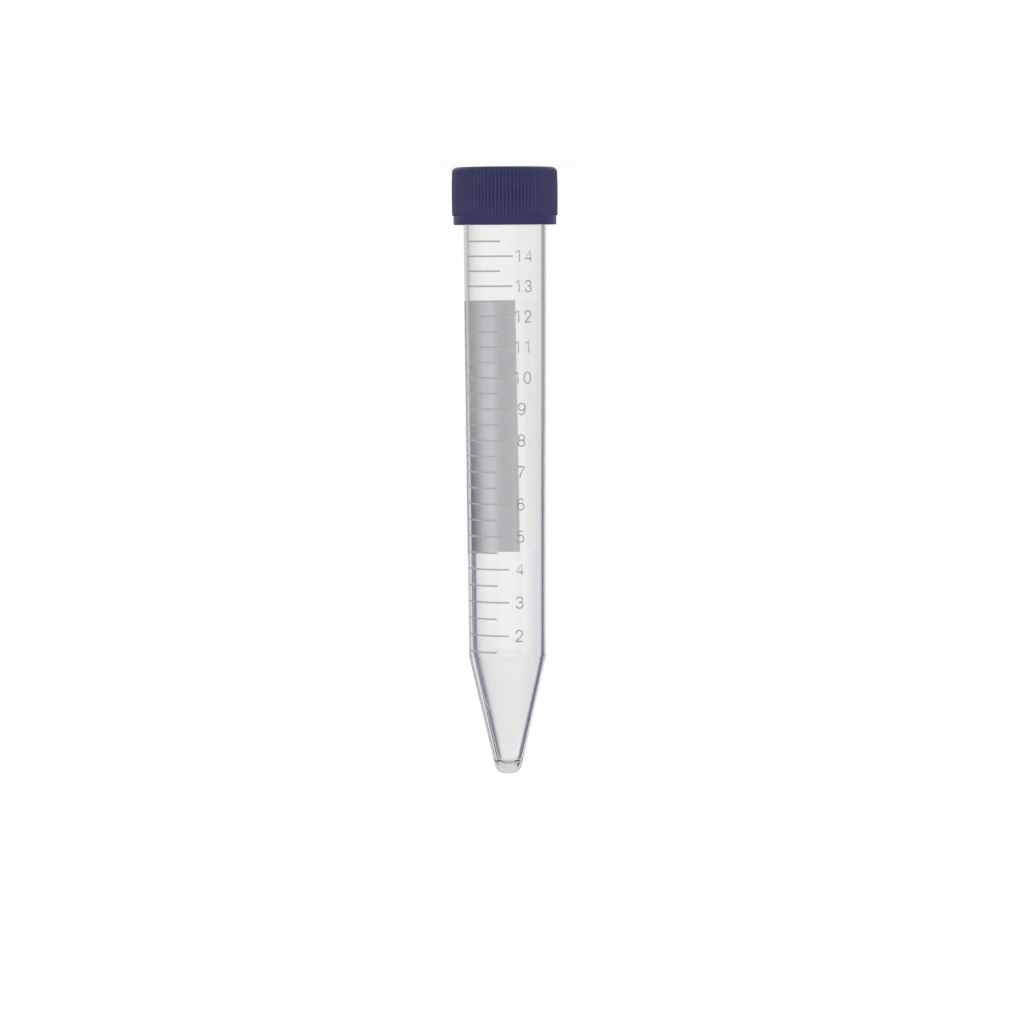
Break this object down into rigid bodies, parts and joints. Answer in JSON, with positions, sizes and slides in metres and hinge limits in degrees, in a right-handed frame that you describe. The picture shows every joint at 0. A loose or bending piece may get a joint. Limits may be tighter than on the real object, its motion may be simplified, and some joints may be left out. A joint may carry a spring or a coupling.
{
  "type": "conical centrifuge tube",
  "caption": "Slim clear tube with a conical foot, a printed volume scale, a pale writing patch and a ribbed dark screw cap.",
  "frame": {"origin": "the middle of the cap's flat top, on which the closed tube stands upside down", "axes": "+Z runs along the tube from the cap up to the tip, the printed scale faces -Y, and +X is to the right of a viewer who faces the scale"},
  "size_m": [0.021, 0.021, 0.1211],
  "materials": {
    "clear_plastic": "clear moulded polypropylene, very slightly hazy",
    "cap_plastic": "dark navy moulded polyethylene with a soft satin sheen",
    "scale_ink": "grey printed ink",
    "patch_ink": "opaque white writing patch, matt"
  },
  "bodies": {
    "cap": {"cap": "cap_plastic"},
    "tube": {"tube": "clear_plastic"}
  },
  "joints": [
    {"name": "tube_lift", "type": "slide", "parent": "cap", "child": "tube", "axis": [0, 0, 1], "range_m": [0, 0.03]}
  ]
}
